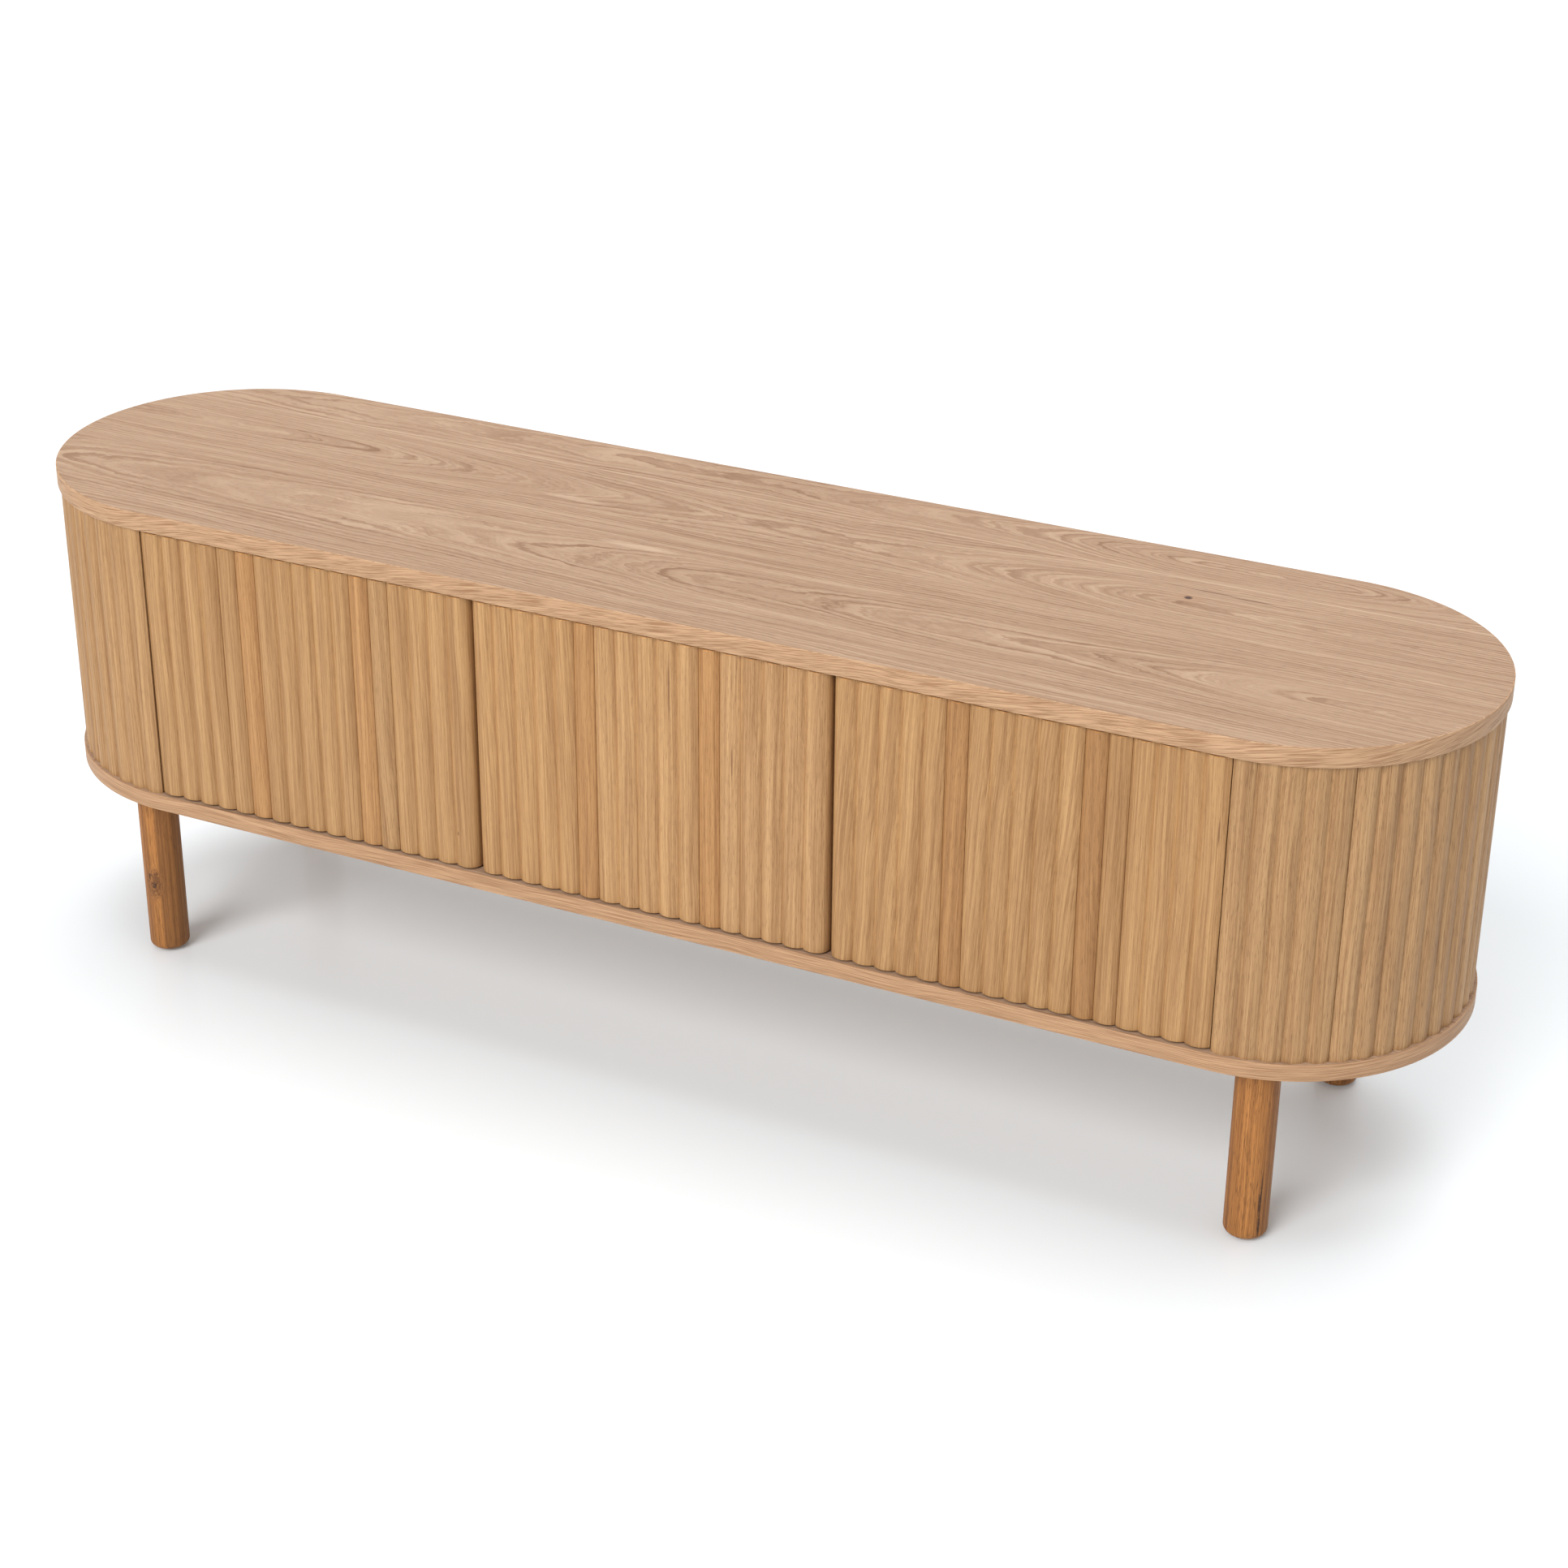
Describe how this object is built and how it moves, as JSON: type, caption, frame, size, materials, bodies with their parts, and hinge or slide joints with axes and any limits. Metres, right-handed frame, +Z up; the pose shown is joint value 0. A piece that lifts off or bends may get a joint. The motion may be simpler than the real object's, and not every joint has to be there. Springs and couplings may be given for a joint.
{
  "type": "media cabinet",
  "caption": "Low oak media cabinet with rounded ends on round legs; reeded doors on pivot pins open onto bays with adjustable shelves.",
  "frame": {"origin": "on the floor under the middle of the cabinet", "axes": "+X along the length to the right seen from the front, the doors face -Y, +Z up"},
  "size_m": [1.5996, 0.4, 0.55],
  "materials": {
    "veneer": "satin",
    "lipping": "satin",
    "staves": "satin",
    "carcass": "satin",
    "legs": "satin",
    "dowels": "matte",
    "steel": "satin",
    "dark_steel": "satin",
    "nylon": "matte",
    "pads": "matte"
  },
  "bodies": {
    "carcass": {"top_panel": "veneer", "top_lipping": "lipping", "bottom_panel": "veneer", "bottom_lipping": "lipping", "left_end_panel": "staves", "right_end_panel": "staves", "left_side_panel": "carcass", "right_side_panel": "carcass", "left_divider": "carcass", "right_divider": "carcass", "back_panel": "carcass", "back_screws": "dark_steel", "left_shelf": "carcass", "middle_shelf": "carcass", "right_shelf": "carcass", "left_shelf_pins": "steel", "middle_shelf_pins": "steel", "right_shelf_pins": "steel", "front_left_leg": "legs", "front_right_leg": "legs", "rear_left_leg": "legs", "rear_right_leg": "legs", "leg_bolts": "steel", "leg_inserts": "steel", "foot_pads": "pads", "upper_dowels": "dowels", "lower_dowels": "dowels", "upper_bushes": "nylon", "lower_bushes": "nylon", "catch_housings": "nylon", "catch_magnets": "dark_steel", "catch_screws": "steel", "door_bumpers": "pads"},
    "left_door": {"left_door_leaf": "staves", "left_upper_pivot": "steel", "left_lower_pivot": "steel", "left_washer": "nylon", "left_strike": "steel", "left_strike_screw": "dark_steel"},
    "middle_door": {"middle_door_leaf": "staves", "middle_upper_pivot": "steel", "middle_lower_pivot": "steel", "middle_washer": "nylon", "middle_strike": "steel", "middle_strike_screw": "dark_steel"},
    "right_door": {"right_door_leaf": "staves", "right_upper_pivot": "steel", "right_lower_pivot": "steel", "right_washer": "nylon", "right_strike": "steel", "right_strike_screw": "dark_steel"}
  },
  "joints": [
    {"name": "left_door_hinge", "type": "hinge", "parent": "carcass", "child": "left_door", "pos_m": [-0.5905, -0.1885, 0.374], "axis": [0, 0, -1], "range_deg": [0, 95]},
    {"name": "middle_door_hinge", "type": "hinge", "parent": "carcass", "child": "middle_door", "pos_m": [-0.1905, -0.1885, 0.374], "axis": [0, 0, -1], "range_deg": [0, 95]},
    {"name": "right_door_hinge", "type": "hinge", "parent": "carcass", "child": "right_door", "pos_m": [0.5905, -0.1885, 0.374], "axis": [0, 0, 1], "range_deg": [0, 95]}
  ]
}
